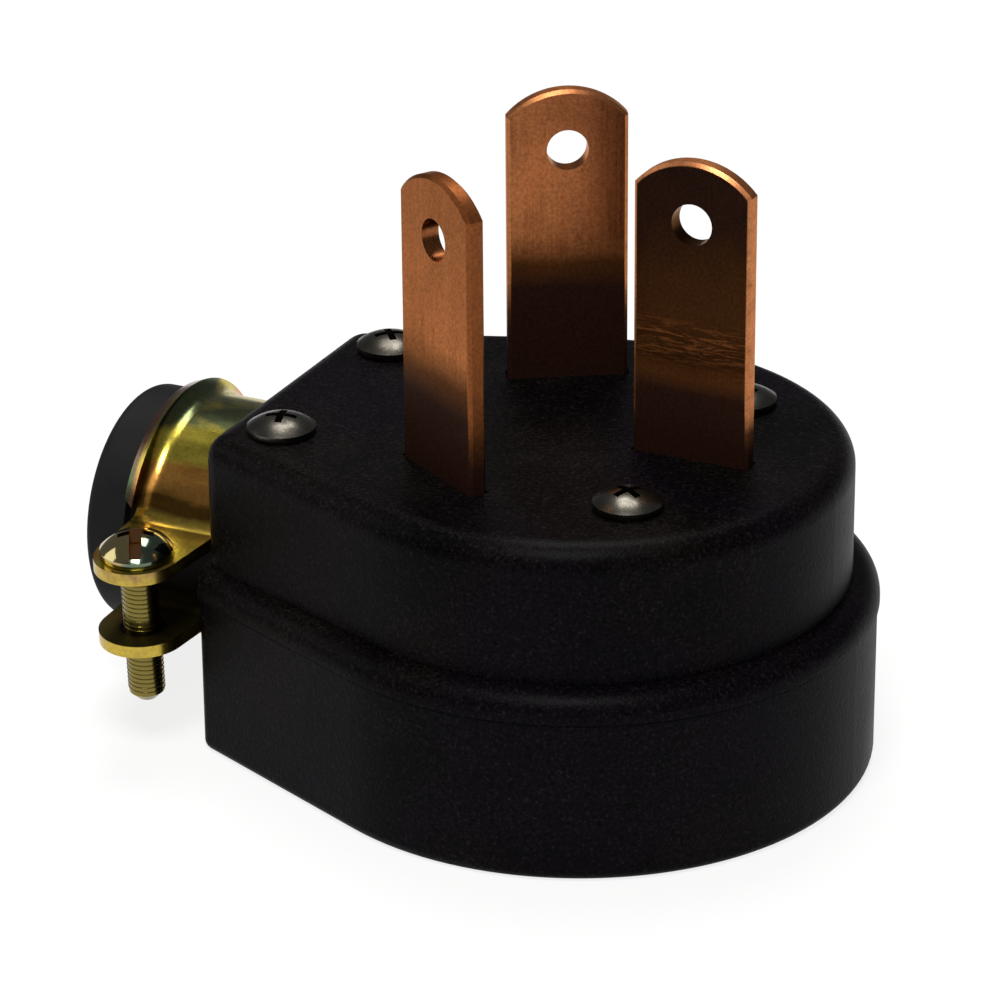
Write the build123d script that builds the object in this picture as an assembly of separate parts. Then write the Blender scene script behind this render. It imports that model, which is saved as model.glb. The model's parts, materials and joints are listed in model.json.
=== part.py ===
from build123d import *
import math
import os

# A right-angle industrial plug with three flat blades and a two-piece moulded housing.
# Lengths are in millimetres. The origin is on the resting face, under the centre of the
# round end. +Z runs up along the blades, and +X points away from the cord.

# Housing in plan
ROUND_RADIUS = 27.05        # round end of the blade housing
EXIT_REACH = 33.4           # centre of the round end to the flat cord face
EXIT_HALF_WIDTH = 16.75     # half the width of the cord face
EXIT_CORNER = 2.8           # plan radius of its two corners
FLANGE_STEP = 2.75          # how far the flange stands proud of the round end
FLANGE_SIDE_STEP = 1.65     # the same beside the cord face
FLANGE_EXIT_STEP = 0.2      # and over the cord face itself
FLANGE_CORNER = 1.4
COVER_SETBACK = 0.23        # how far the cover lies inside the flange
COVER_SIDE_SETBACK = 0.1    # the same beside the cord face

# Housing heights and walls
COVER_HEIGHT = 16.75        # resting face to the seam
HOUSING_HEIGHT = 16.75      # seam to the blade face
FLANGE_HEIGHT = 2.85
FLANGE_ROUND = 2.5
TOP_ROUND = 2.6
BASE_ROUND = 1.1
SEAM_ROUND = 0.3            # upper edge of the cover
FACE_WALL = 4.0             # wall that the blades pass through
SIDE_WALL = 2.45
COVER_WALL = 3.0
COVER_FLOOR = 2.8
SPIGOT_THICK = 1.3          # lip of the cover that locates in the housing
SPIGOT_HEIGHT = 1.0
SPIGOT_GAP = 0.15

# Blades
BLADE_WIDTH = 12.07
BLADE_THICK = 1.9
BLADE_OUT = 30.3            # blade face to blade tip
BLADE_TIP_RADIUS = 7.97
BLADE_HOLE = 4.15           # diameter
BLADE_HOLE_DROP = 6.2       # tip to the centre of the hole
BLADE_CHAMFER = 0.35
BLADE_BEND = 0.8            # inside radius where the foot turns
HEEL_SHARE = 0.9            # outside radius there, as a share of the thickness
FOOT_REACH = 9.2            # middle of the blade to the end of its foot
SLOT_GAP = 0.15
NEUTRAL_X = 12.16
LINE_X = -7.75
LINE_Y = 13.82
LINE_TURN = 31.25           # degrees that each line blade is turned from the X axis

# Terminals
TERMINAL_OFFSET = 5.4       # middle of the blade to the terminal screw
TERMINAL_SHANK = 2.4        # radius
TERMINAL_HEAD = 3.7         # radius
TERMINAL_HEAD_HEIGHT = 2.4
TERMINAL_REACH = 1.2        # shank past the blade foot
TERMINAL_SLOT = 1.1
PLATE_LONG = 9.0
PLATE_SHORT = 7.4
PLATE_THICK = 1.6

# Housing screws, bosses and inserts
REAR_SCREW_INSET = 6.7      # cord face to the rear screws
REAR_SCREW_SIDE = 5.08      # side of the cord face to the rear screws
FRONT_SCREW_X = 11.5
FRONT_SCREW_Y = 13.78
SCREW_SHANK = 1.95          # radius
SCREW_LENGTH = 24.0
SCREW_HEAD = 3.4            # radius
SCREW_HEAD_HEIGHT = 1.9
SCREW_GAP = 0.2             # clearance round a shank
THREAD_GAP = 0.05
BOSS_RADIUS = 3.9
WEB_THICK = 1.6
INSERT_RADIUS = 2.8
INSERT_LENGTH = 8.0
INSERT_SLACK = 1.6          # hole left below the screw tip
RECESS_WIDTH = 0.85         # arms of a cross recess
RECESS_SPAN = 3.8
RECESS_DEPTH = 1.1
FIRST_TURN = 15             # degrees that the first cross recess is turned
TURN_STEP = 25              # and how much further each next one is
CLAMP_TURN = 20             # the same for the clamp screws, one each way
RIM_SHARE = 0.3             # share of a head's height below its dome

# Barrier between the terminals
BARRIER_THICK = 1.6
BARRIER_DROP = 8.0          # below the inside of the blade face
BARRIER_X = 4.1             # cross barrier
BARRIER_HALF = 13.0         # half its length
BARRIER_STOP = 15.9         # cord face to the end of the long barrier

# Cord clamp
AXIS_LIFT = 0.4             # cord axis above the seam
SHEET = 1.3                 # thickness of the clamp's steel
SADDLE_RADIUS = 12.4        # outside of the saddle
LIP_RADIUS = 13.75          # outside of the flared lip
LIP_OUT = 11.4              # cord face to the lip
FLARE_TURN = 70             # degrees that the sheet turns out at the lip
COLLAR_STEP = 0.8           # turned collar that keeps the clamp in the housing
EXIT_WALL = 2.0             # wall that the collar hooks behind
CLAMP_GAP = 0.15
CLAMP_ROLL = 3.0            # degrees that the clamp has turned in its groove
EAR_GAP = 6.75              # between the ears of the two halves
EAR_RADIUS = 4.4
EAR_OUT = 6.0               # cord face to the clamp screws
EAR_Y = 18.7
EAR_FACE_GAP = 0.8          # ear to the housing
EAR_WIDE_OUT = 10.3         # cord face to the far side of the ears' root
EAR_BEND = 1.9
FLARE_TRIM = 5.2            # the flare stops this far above the axis at its root
LIP_TRIM = 7.0              # and this far at the lip
CLAMP_SHANK = 1.9           # radius
CLAMP_SCREW_LENGTH = 16.0
CLAMP_HEAD = 3.7            # radius
CLAMP_HEAD_HEIGHT = 2.5
TIP_CHAMFER = 1.0

# Cord bushing
BUSHING_OUT = 16.3          # cord face to the outer end
BUSHING_RIM = 12.25         # radius
BUSHING_RIM_ROUND = 1.0
BUSHING_BORE = 9.0          # radius, for the cord
BUSHING_MOUTH = 1.2
BUSHING_GAP = 0.1
RIM_GAP = 0.3

# Small values used throughout
TIGHT_CORNER = 0.4          # least plan radius inside a wall
CLOSE = 0.1                 # nearness that picks an edge or a corner

# Places that follow from the sizes above
SEAM = COVER_HEIGHT
TOP = COVER_HEIGHT + HOUSING_HEIGHT
CEILING = TOP - FACE_WALL
FLANGE_RADIUS = ROUND_RADIUS + FLANGE_STEP
FLANGE_HALF = EXIT_HALF_WIDTH + FLANGE_SIDE_STEP
FLANGE_REACH = EXIT_REACH + FLANGE_EXIT_STEP
COVER_RADIUS = FLANGE_RADIUS - COVER_SETBACK
COVER_HALF = FLANGE_HALF - COVER_SIDE_SETBACK
SCREW_TIP = TOP - SCREW_LENGTH
FOOT_UNDER = CEILING - BLADE_THICK
SADDLE_INNER = SADDLE_RADIUS - SHEET
COLLAR_FACE = EXIT_REACH - EXIT_WALL - CLAMP_GAP
CLAMP_END = COLLAR_FACE - SHEET
EAR_TOP = EAR_GAP / 2 + SHEET
REAR_SCREW_X = REAR_SCREW_INSET - EXIT_REACH
REAR_SCREW_Y = EXIT_HALF_WIDTH - REAR_SCREW_SIDE
BARRIER_TAIL = BARRIER_STOP - EXIT_REACH
LIP_REACH = EXIT_REACH + LIP_OUT
FLARE_SIN = math.sin(math.radians(FLARE_TURN))
FLARE_COS = math.cos(math.radians(FLARE_TURN))
FLARE_BEND = (LIP_RADIUS - SADDLE_RADIUS) / (1 - FLARE_COS)
FLARE_ROOT = LIP_REACH - (FLARE_BEND + SHEET) * FLARE_SIN
EAR_X = EXIT_REACH + EAR_OUT
EAR_OUTER_EDGE = EXIT_REACH + EAR_WIDE_OUT
BUSHING_REACH = EXIT_REACH + BUSHING_OUT
AXIS_HEIGHT = SEAM + AXIS_LIFT
AXIS = Plane((0, 0, AXIS_HEIGHT), x_dir=(0, 1, 0), z_dir=(-1, 0, 0))

SCREW_PLACES = {
    "housing_screw_1": (REAR_SCREW_X, -REAR_SCREW_Y),
    "housing_screw_2": (REAR_SCREW_X, REAR_SCREW_Y),
    "housing_screw_3": (FRONT_SCREW_X, -FRONT_SCREW_Y),
    "housing_screw_4": (FRONT_SCREW_X, FRONT_SCREW_Y),
}
# Place in plan, turn of the broad side, and the side that the foot turns to
BLADE_PLACES = {
    "neutral": (NEUTRAL_X, 0, 0, -1),
    "line_1": (LINE_X, -LINE_Y, -LINE_TURN, 1),
    "line_2": (LINE_X, LINE_Y, LINE_TURN, -1),
}


def pear(radius, half_width, corner, inset=0.0, reach=EXIT_REACH):
    """Plan outline of a moulding: a round end, straight sides and a flat cord face."""
    corner = max(corner - inset, TIGHT_CORNER)
    x = corner + inset - reach
    y = half_width - inset - corner
    arcs = [Edge.make_circle(radius - inset)]
    arcs += [Edge.make_circle(corner, Plane((x, side * y, 0))) for side in (-1, 1)]
    return make_hull(arcs)


def long_pear(radius, half_width, corner, end, reach):
    """The same outline with its sides run on past the cord face, to ends of a larger radius."""
    x = corner - reach
    y = half_width - corner
    further = 2 * end
    lean = math.atan2(y, x) - math.acos((radius - corner) / math.hypot(x, y))
    x += (corner - end) * math.cos(lean) - further * math.sin(lean)
    y += (corner - end) * math.sin(lean) + further * math.cos(lean)
    ends = [Edge.make_circle(end, Plane((x, side * y, 0))) for side in (-1, 1)]
    return make_hull([Edge.make_circle(radius), *ends])


def slab(outline, bottom, top):
    """A plan outline raised from one height to another."""
    return Pos(0, 0, bottom) * extrude(outline, top - bottom)


def post(radius, bottom, top, place=(0, 0)):
    """An upright round post."""
    return Pos(place[0], place[1], bottom) * extrude(Circle(radius), top - bottom)


def tube_along_exit(radius, start, end):
    """A round bar on the cord's axis, between two distances from the round end's centre."""
    return extrude(Plane(AXIS.location * Pos(0, 0, start)) * Circle(radius), end - start)


def blade_frame(name):
    """Where a blade stands, with its width along the frame's X axis."""
    x, y, turn, _ = BLADE_PLACES[name]
    return Pos(x, y, 0) * Rot(0, 0, turn)


def terminal_frame(name):
    """Where the terminal screw of a blade stands."""
    return blade_frame(name) * Pos(0, BLADE_PLACES[name][3] * TERMINAL_OFFSET, 0)


def boss_webs(cavity, bottom, top):
    """Webs from the two front bosses out to the wall."""
    webs = []
    for x, y in ((FRONT_SCREW_X, -FRONT_SCREW_Y), (FRONT_SCREW_X, FRONT_SCREW_Y)):
        away = math.degrees(math.atan2(y, x))
        web = Box(ROUND_RADIUS, WEB_THICK, top - bottom, align=(Align.MIN, Align.CENTER, Align.MIN))
        webs.append((Pos(x, y, bottom) * Rot(0, 0, away) * web) & cavity)
    return webs


def cross_recess(head_top):
    """The cutter of a cross recess, with its floor below the top of a head."""
    arm = Box(RECESS_SPAN, RECESS_WIDTH, 2 * RECESS_DEPTH)
    return Pos(0, 0, head_top) * (arm + Rot(0, 0, 90) * arm)


def domed_screw(shank, length, head, head_height, turn):
    """A screw with a domed head that points down from the origin."""
    rim = head_height * RIM_SHARE
    rise = head_height - rim
    dome = (head * head + rise * rise) / (2 * rise)
    profile = Polyline((0, head_height), (0, -length), (shank - TIP_CHAMFER, -length),
                       (shank, TIP_CHAMFER - length), (shank, 0), (head, 0), (head, rim))
    cap = RadiusArc((head, rim), (0, head_height), -dome)
    body = revolve(make_face(Plane.XZ * (profile + cap)), Axis.Z)
    return body - Rot(0, 0, turn) * cross_recess(head_height)


# Blade housing

def blade_housing():
    """The upper moulding: blade face, side wall, flange, bosses, slots and barriers."""
    wall = slab(pear(ROUND_RADIUS, EXIT_HALF_WIDTH, EXIT_CORNER), SEAM, TOP)
    wall = fillet(wall.edges().group_by(Axis.Z)[-1], TOP_ROUND)
    cavity = slab(pear(ROUND_RADIUS, EXIT_HALF_WIDTH, EXIT_CORNER, SIDE_WALL), SEAM, CEILING)
    rebate_inset = COVER_WALL - SPIGOT_THICK - SPIGOT_GAP
    rebate = slab(pear(COVER_RADIUS, COVER_HALF, FLANGE_CORNER, rebate_inset), SEAM,
                  SEAM + SPIGOT_HEIGHT + SPIGOT_GAP)

    # The flange is rounded past its ends, then cut to the outline that it has at the cord face
    flange = slab(long_pear(FLANGE_RADIUS, FLANGE_HALF, FLANGE_CORNER, 2 * FLANGE_ROUND,
                            FLANGE_REACH), SEAM, SEAM + FLANGE_HEIGHT)
    flange = fillet(flange.edges().group_by(Axis.Z)[-1], FLANGE_ROUND)
    flange &= slab(pear(FLANGE_RADIUS, FLANGE_HALF, FLANGE_CORNER, reach=FLANGE_REACH), SEAM, TOP)
    body = wall + flange - cavity

    # Bosses for the four screws and the barrier between the terminals
    for place in SCREW_PLACES.values():
        body += post(BOSS_RADIUS, SEAM, CEILING, place) & (cavity + wall)
    for web in boss_webs(cavity, SEAM + SPIGOT_HEIGHT + SPIGOT_GAP, CEILING):
        body += web
    tail = Box(BARRIER_X - BARRIER_TAIL, BARRIER_THICK, BARRIER_DROP,
               align=(Align.MAX, Align.CENTER, Align.MAX))
    cross = Box(BARRIER_THICK, 2 * BARRIER_HALF, BARRIER_DROP,
                align=(Align.CENTER, Align.CENTER, Align.MAX))
    body += Pos(BARRIER_X, 0, CEILING) * (tail + cross)
    for place in SCREW_PLACES.values():
        body -= post(SCREW_SHANK + SCREW_GAP, SEAM, TOP, place)
    body -= rebate

    # Slots for the blades, each with room for the bend of the foot and the screw's end
    slot = Box(BLADE_WIDTH + 2 * SLOT_GAP, BLADE_THICK + 2 * SLOT_GAP, 3 * FACE_WALL)
    for name, (_, _, _, side) in BLADE_PLACES.items():
        relief = Box(BLADE_WIDTH + 2 * SLOT_GAP, BLADE_BEND + SLOT_GAP,
                     2 * (BLADE_BEND + SLOT_GAP), align=(Align.CENTER, Align.MIN, Align.CENTER))
        relief = Rot(0, 0, 0 if side > 0 else 180) * Pos(0, BLADE_THICK / 2, 0) * relief
        body -= blade_frame(name) * Pos(0, 0, CEILING) * (slot + relief)
        body -= terminal_frame(name) * post(TERMINAL_SHANK + SCREW_GAP, CEILING,
                                            CEILING + TERMINAL_REACH + SCREW_GAP)
    return body - exit_opening()


def exit_opening():
    """Round opening for the clamp, with the groove that its collar turns in."""
    through = tube_along_exit(SADDLE_RADIUS + CLAMP_GAP, CLAMP_END - CLAMP_GAP,
                              EXIT_REACH + SHEET)
    groove = tube_along_exit(SADDLE_RADIUS + COLLAR_STEP + CLAMP_GAP, CLAMP_END - CLAMP_GAP,
                             EXIT_REACH - EXIT_WALL)
    return through + groove


# Rear cover

def rear_cover():
    """The lower moulding: floor, wall, locating spigot and bosses for the inserts."""
    outer = slab(pear(COVER_RADIUS, COVER_HALF, FLANGE_CORNER), 0, SEAM)
    outer = fillet(outer.edges().group_by(Axis.Z)[0], BASE_ROUND)
    outer = fillet(outer.edges().group_by(Axis.Z)[-1], SEAM_ROUND)
    spigot = slab(pear(COVER_RADIUS, COVER_HALF, FLANGE_CORNER, COVER_WALL - SPIGOT_THICK),
                  SEAM - SPIGOT_HEIGHT, SEAM + SPIGOT_HEIGHT)
    inside = pear(COVER_RADIUS, COVER_HALF, FLANGE_CORNER, COVER_WALL)
    cavity = slab(inside, COVER_FLOOR, SEAM + 2 * SPIGOT_HEIGHT)
    body = outer + spigot - cavity
    room = slab(inside, COVER_FLOOR, SEAM)
    for place in SCREW_PLACES.values():
        body += post(BOSS_RADIUS, COVER_FLOOR, SEAM, place) & outer
    for web in boss_webs(room, COVER_FLOOR, SEAM):
        body += web

    # The spigot leaves room for the bosses of the housing
    for place in SCREW_PLACES.values():
        body -= post(BOSS_RADIUS + SPIGOT_GAP, SEAM, SEAM + 2 * SPIGOT_HEIGHT, place)
        body -= post(INSERT_RADIUS + THREAD_GAP, SEAM - INSERT_LENGTH, SEAM, place)
        body -= post(SCREW_SHANK + SCREW_GAP, SCREW_TIP - INSERT_SLACK, SEAM, place)
    return body - exit_opening()


# Blades and terminals

def blade(name):
    """A flat blade with a rounded tip, a hole near it and a foot bent under the face."""
    side = BLADE_PLACES[name][3]
    half = BLADE_WIDTH / 2
    tip = TOP + BLADE_OUT
    shoulder = tip - BLADE_TIP_RADIUS + math.sqrt(BLADE_TIP_RADIUS ** 2 - half ** 2)
    sides = Polyline((-half, shoulder), (-half, CEILING), (half, CEILING), (half, shoulder))
    nose = ThreePointArc((half, shoulder), (0, tip), (-half, shoulder))
    leg = extrude(make_face(Plane.XZ * (sides + nose)), BLADE_THICK / 2, both=True)
    rims = leg.edges().filter_by(lambda e: abs(abs(e.center().Y) - BLADE_THICK / 2) < CLOSE
                                 and e.center().Z > CEILING + CLOSE)
    leg = chamfer(rims, BLADE_CHAMFER)
    hole = Plane.XZ.offset(-BLADE_WIDTH) * Pos(0, tip - BLADE_HOLE_DROP) * Circle(BLADE_HOLE / 2)
    leg -= extrude(hole, 2 * BLADE_WIDTH)

    # The foot in side view, then drawn out to the width of the blade
    back = -side * BLADE_THICK / 2
    front = side * BLADE_THICK / 2
    bend = Polyline((back, CEILING), (back, FOOT_UNDER), (side * FOOT_REACH, FOOT_UNDER),
                    (side * FOOT_REACH, CEILING), (front + side * BLADE_BEND, CEILING))
    inside = RadiusArc((front + side * BLADE_BEND, CEILING), (front, CEILING + BLADE_BEND),
                       -side * BLADE_BEND)
    close = Polyline((front, CEILING + BLADE_BEND), (back, CEILING + BLADE_BEND), (back, CEILING))
    foot = extrude(make_face(Plane.YZ * (bend + inside + close)), half, both=True)
    heel = foot.edges().filter_by(Axis.X).group_by(Axis.Z)[0].sort_by(Axis.Y)
    foot = fillet(heel[0] if side > 0 else heel[-1], BLADE_THICK * HEEL_SHARE)
    foot -= Pos(0, side * TERMINAL_OFFSET, 0) * post(TERMINAL_SHANK + THREAD_GAP, FOOT_UNDER,
                                                     CEILING)
    return blade_frame(name) * (leg + foot)


def pressure_plate(name):
    """The plate that holds the conductor against the foot."""
    plate = Pos(0, 0, FOOT_UNDER) * Box(PLATE_LONG, PLATE_SHORT, PLATE_THICK,
                                        align=(Align.CENTER, Align.CENTER, Align.MAX))
    plate = fillet(plate.edges().filter_by(Axis.Z), PLATE_THICK / 2)
    bore = post(TERMINAL_SHANK + SCREW_GAP, FOOT_UNDER - PLATE_THICK, FOOT_UNDER)
    return terminal_frame(name) * (plate - bore)


def terminal_screw(name):
    """A terminal screw, driven from the open side of the housing."""
    seat = FOOT_UNDER - PLATE_THICK
    under = seat - TERMINAL_HEAD_HEIGHT
    screw = post(TERMINAL_SHANK, seat, CEILING + TERMINAL_REACH) + post(TERMINAL_HEAD, under, seat)
    slot = Box(2 * TERMINAL_HEAD, TERMINAL_SLOT, 2 * RECESS_DEPTH)
    return terminal_frame(name) * (screw - Pos(0, 0, under) * slot)


# Screws and inserts of the housing

def housing_screw(place, turn):
    """One of the four screws that hold the cover on."""
    return Pos(place[0], place[1], TOP) * domed_screw(
        SCREW_SHANK, SCREW_LENGTH, SCREW_HEAD, SCREW_HEAD_HEIGHT, turn)


def cover_insert(place):
    """A threaded insert in a boss of the cover."""
    bottom = SEAM - INSERT_LENGTH
    return post(INSERT_RADIUS, bottom, SEAM, place) - post(SCREW_SHANK + THREAD_GAP, bottom, SEAM,
                                                           place)


# Cord clamp and bushing

def side_prism(points):
    """A prism across the clamp, from points along the cord and above its axis."""
    return extrude(make_face(Plane.XZ * Polyline(*points, close=True)), 2 * LIP_RADIUS, both=True)


def rolled(shape):
    """A shape drawn about the cord's axis towards +X, set in its place on the plug."""
    return Pos(0, 0, AXIS_HEIGHT) * Rot(CLAMP_ROLL, 0, 0) * mirror(shape, Plane.YZ)


def clamp_half():
    """Half of the cord clamp: a formed saddle with a flared lip, a collar and two ears."""
    collar = SADDLE_RADIUS + COLLAR_STEP
    middle = SADDLE_RADIUS + FLARE_BEND

    def turned(angle, radius):
        """A point of the flare, at an angle round the centre of its bend."""
        turn = math.radians(angle)
        return (FLARE_ROOT + radius * math.sin(turn), middle - radius * math.cos(turn))

    # Distances along the cord and from its axis
    inner = ThreePointArc((FLARE_ROOT, SADDLE_INNER), turned(FLARE_TURN / 2, FLARE_BEND + SHEET),
                          turned(FLARE_TURN, FLARE_BEND + SHEET))
    outer = ThreePointArc(turned(FLARE_TURN, FLARE_BEND), turned(FLARE_TURN / 2, FLARE_BEND),
                          (FLARE_ROOT, SADDLE_RADIUS))
    edge = Line(turned(FLARE_TURN, FLARE_BEND + SHEET), turned(FLARE_TURN, FLARE_BEND))
    back = Polyline((FLARE_ROOT, SADDLE_RADIUS), (COLLAR_FACE, SADDLE_RADIUS),
                    (COLLAR_FACE, collar), (CLAMP_END, collar), (CLAMP_END, SADDLE_INNER),
                    (FLARE_ROOT, SADDLE_INNER))
    shell = revolve(make_face(inner + edge + outer + back), Axis.X)

    # The flare ends on a slanted line above the ears
    past = LIP_REACH + SHEET
    high = 2 * LIP_RADIUS
    slant = (FLARE_ROOT, FLARE_TRIM), (past, LIP_TRIM)
    shell &= side_prism([(0, EAR_GAP / 2), (past, EAR_GAP / 2), (past, high), (0, high)])
    shell -= side_prism([(FLARE_ROOT, 0), *slant, (past, 0)])

    # Ears in end view, with the bend into the saddle
    strap = Pos(0, EAR_GAP / 2 + SHEET / 2) * Rectangle(2 * (EAR_Y + EAR_RADIUS), SHEET)
    ring = Circle(SADDLE_RADIUS) & Pos(0, LIP_RADIUS + EAR_GAP / 2) * Rectangle(
        2 * SADDLE_RADIUS, 2 * LIP_RADIUS)
    section = ring + strap
    knees = section.vertices().filter_by(
        lambda v: abs(v.Y - EAR_TOP) < CLOSE and abs(v.X) < SADDLE_RADIUS)
    section = fillet(knees, EAR_BEND) - Circle(SADDLE_INNER)
    near = EXIT_REACH + EAR_FACE_GAP
    ears = extrude(Plane.YZ.offset(near) * section, LIP_REACH - near)
    plan = Pos((near + EAR_OUTER_EDGE) / 2, 0) * Rectangle(EAR_OUTER_EDGE - near, 2 * SADDLE_RADIUS)
    for side in (-1, 1):
        rim = Edge.make_circle(EAR_RADIUS, Plane((EAR_X, side * EAR_Y, 0)))
        root = Edge.make_line((near, side * SADDLE_RADIUS), (EAR_OUTER_EDGE, side * SADDLE_RADIUS))
        plan += make_hull([rim, root])
    ears &= extrude(plan, 2 * SADDLE_RADIUS)
    ears -= side_prism([*slant, (past, high), (FLARE_ROOT, high)])
    half = shell + ears
    for side in (-1, 1):
        half -= post(CLAMP_SHANK + SCREW_GAP, 0, EAR_TOP + SHEET, (EAR_X, side * EAR_Y))
    return half


def clamp_screw(side):
    """A screw through the ears on one side of the cord."""
    screw = domed_screw(CLAMP_SHANK, CLAMP_SCREW_LENGTH, CLAMP_HEAD, CLAMP_HEAD_HEIGHT,
                        CLAMP_TURN * side)
    return rolled(Pos(EAR_X, side * EAR_Y, EAR_TOP) * screw)


def cord_bushing():
    """The rubber bushing that the clamp presses on the cord."""
    rim = tube_along_exit(BUSHING_RIM, LIP_REACH + RIM_GAP, BUSHING_REACH)
    rim = fillet(rim.edges().group_by(Axis.X)[0], BUSHING_RIM_ROUND)
    sleeve = tube_along_exit(SADDLE_INNER - BUSHING_GAP, CLAMP_END, BUSHING_REACH - BUSHING_RIM_ROUND)
    body = rim + sleeve - tube_along_exit(BUSHING_BORE, CLAMP_END - SHEET, BUSHING_REACH + SHEET)
    mouth = body.edges().filter_by(GeomType.CIRCLE).filter_by(
        lambda e: abs(e.radius - BUSHING_BORE) < CLOSE)
    return chamfer(mouth.group_by(Axis.X)[0], BUSHING_MOUTH)


def pieces():
    """Every piece of the plug, by name."""
    found = {"blade_housing": blade_housing(), "rear_cover": rear_cover()}
    for name in BLADE_PLACES:
        found["blade_" + name] = blade(name)
        found["terminal_screw_" + name] = terminal_screw(name)
        found["pressure_plate_" + name] = pressure_plate(name)
    for i, (name, place) in enumerate(SCREW_PLACES.items()):
        found[name] = housing_screw(place, FIRST_TURN + TURN_STEP * i)
        found["cover_insert_" + name[-1]] = cover_insert(place)
    half = clamp_half()
    found["clamp_upper"] = rolled(half)
    found["clamp_lower"] = rolled(mirror(half, Plane.XY))
    found["clamp_screw_1"] = clamp_screw(-1)
    found["clamp_screw_2"] = clamp_screw(1)
    found["cord_bushing"] = cord_bushing()
    return found


os.makedirs("parts", exist_ok=True)
for piece_name, shape in pieces().items():
    solids = shape.solids()
    export_step(solids[0] if len(solids) == 1 else Compound(solids), f"parts/{piece_name}.step")
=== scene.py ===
"""The looks of a right-angle industrial plug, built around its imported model.

Everything is in metres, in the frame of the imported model: the origin is on the
resting face under the centre of the round end, +Z runs along the blades and +X
points away from the cord.
"""

from __future__ import annotations

import json
import logging
import math
from dataclasses import dataclass, field
from enum import Enum
from typing import Any, Sequence

import bmesh
import bpy
from mathutils import Matrix, Vector

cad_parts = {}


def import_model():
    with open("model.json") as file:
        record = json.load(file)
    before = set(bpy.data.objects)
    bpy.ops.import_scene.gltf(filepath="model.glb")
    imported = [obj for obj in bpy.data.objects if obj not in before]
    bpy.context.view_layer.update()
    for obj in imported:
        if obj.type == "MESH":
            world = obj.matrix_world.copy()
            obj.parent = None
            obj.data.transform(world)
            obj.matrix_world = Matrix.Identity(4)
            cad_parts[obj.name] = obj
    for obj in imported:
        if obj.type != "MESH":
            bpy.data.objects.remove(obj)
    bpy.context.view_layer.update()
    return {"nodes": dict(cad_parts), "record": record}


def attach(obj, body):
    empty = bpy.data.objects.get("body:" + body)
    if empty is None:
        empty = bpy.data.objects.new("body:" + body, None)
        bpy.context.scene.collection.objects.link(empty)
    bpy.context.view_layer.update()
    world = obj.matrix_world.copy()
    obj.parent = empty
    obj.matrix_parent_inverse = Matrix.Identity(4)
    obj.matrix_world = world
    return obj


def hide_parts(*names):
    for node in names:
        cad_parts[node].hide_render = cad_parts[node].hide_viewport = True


LOG = logging.getLogger("plug")
MM = 0.001
ROOT = "root"

Colour = tuple[float, float, float]
Point = tuple[float, float, float]
Stop = tuple[float, Colour]
Band = tuple[float, float]

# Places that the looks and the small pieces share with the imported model
BLADE_FACE = 33.5 * MM
CORD_AXIS = 17.15 * MM
CLAMP_ROLL = 3.0
SCREW_ROW = -39.4 * MM
SCREW_ASIDE = 18.7 * MM
EAR_TOP = 4.675 * MM
CLAMP_HEAD_RISE = 2.5 * MM

# Edges sharper than this many degrees stay sharp
SOFT_ANGLE = 32.0

# The middle of a noise, and the part of its range that mottling uses
NOISE_MIDDLE = 0.5
MOTTLE_BAND: Band = (0.32, 0.68)

FULL_SIZE: Point = (1.0, 1.0, 1.0)
NO_TURN: Point = (0.0, 0.0, 0.0)


class Maths(Enum):
    """The arithmetic that a wire can take part in."""

    ADD = "ADD"
    SUBTRACT = "SUBTRACT"
    MULTIPLY = "MULTIPLY"
    POWER = "POWER"


class Wire:
    """A node's output that is used like a number."""

    def __init__(self, tree: bpy.types.NodeTree, socket: bpy.types.NodeSocket) -> None:
        """Keeps the socket and the tree that it is in.

        Args:
            tree: The node tree.
            socket: An output of one of its nodes.
        """
        self.tree = tree
        self.socket = socket

    def _join(self, how: Maths, first: Any, second: Any) -> Wire:
        """Adds one Math node.

        Args:
            how: The operation.
            first: A wire or a number.
            second: A wire or a number.

        Returns:
            The node's result.
        """
        node = self.tree.nodes.new("ShaderNodeMath")
        node.operation = how.value
        for slot, value in zip(node.inputs, (first, second)):
            if isinstance(value, Wire):
                self.tree.links.new(value.socket, slot)
            else:
                slot.default_value = float(value)
        return Wire(self.tree, node.outputs[0])

    def __add__(self, other: Any) -> Wire:
        """This plus the other."""
        return self._join(Maths.ADD, self, other)

    def __radd__(self, other: Any) -> Wire:
        """The other plus this."""
        return self._join(Maths.ADD, other, self)

    def __sub__(self, other: Any) -> Wire:
        """This less the other."""
        return self._join(Maths.SUBTRACT, self, other)

    def __rsub__(self, other: Any) -> Wire:
        """The other less this."""
        return self._join(Maths.SUBTRACT, other, self)

    def __mul__(self, other: Any) -> Wire:
        """This times the other."""
        return self._join(Maths.MULTIPLY, self, other)

    def __rmul__(self, other: Any) -> Wire:
        """The other times this."""
        return self._join(Maths.MULTIPLY, other, self)

    def __pow__(self, other: Any) -> Wire:
        """This to the power of the other."""
        return self._join(Maths.POWER, self, other)


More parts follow.
